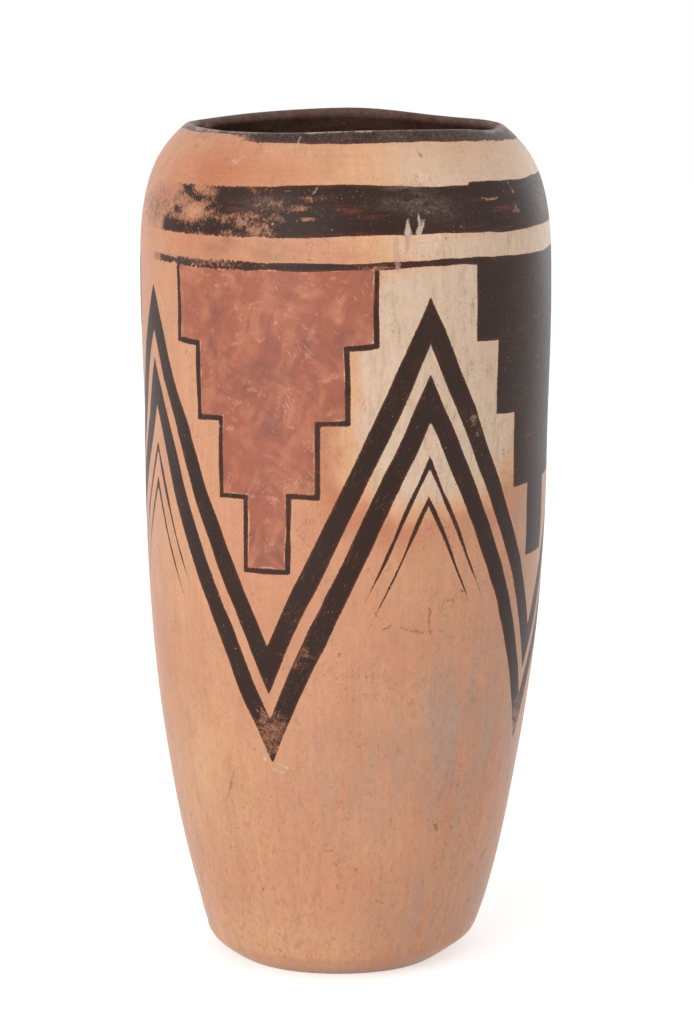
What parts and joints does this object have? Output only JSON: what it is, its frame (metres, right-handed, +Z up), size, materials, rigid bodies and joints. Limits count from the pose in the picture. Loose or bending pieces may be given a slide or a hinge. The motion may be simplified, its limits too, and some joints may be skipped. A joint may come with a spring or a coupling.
{
  "type": "pottery vase",
  "caption": "Tall hand-built pottery vase with a small flat foot, a full shoulder and a wide incurved mouth, for flowers or display.",
  "frame": {"origin": "middle of the foot, on the surface that the vase stands on", "axes": "+Z up along the vase's axis; -Y is the painted front"},
  "size_m": [0.148, 0.148, 0.305],
  "materials": {
    "polished_clay": "stone-polished, satin",
    "painted_clay": "stone-polished, painted with matt clay slip",
    "lip_clay": "matt dark slip"
  },
  "bodies": {
    "root": {"base_pat": "polished_clay", "wall_ring_01": "polished_clay", "wall_ring_02": "polished_clay", "wall_ring_03": "painted_clay", "wall_ring_04": "painted_clay", "wall_ring_05": "painted_clay", "wall_ring_06": "painted_clay", "wall_ring_07": "painted_clay", "wall_ring_08": "painted_clay", "wall_ring_09": "painted_clay", "wall_ring_10": "painted_clay", "rim_coil": "lip_clay"}
  },
  "joints": []
}
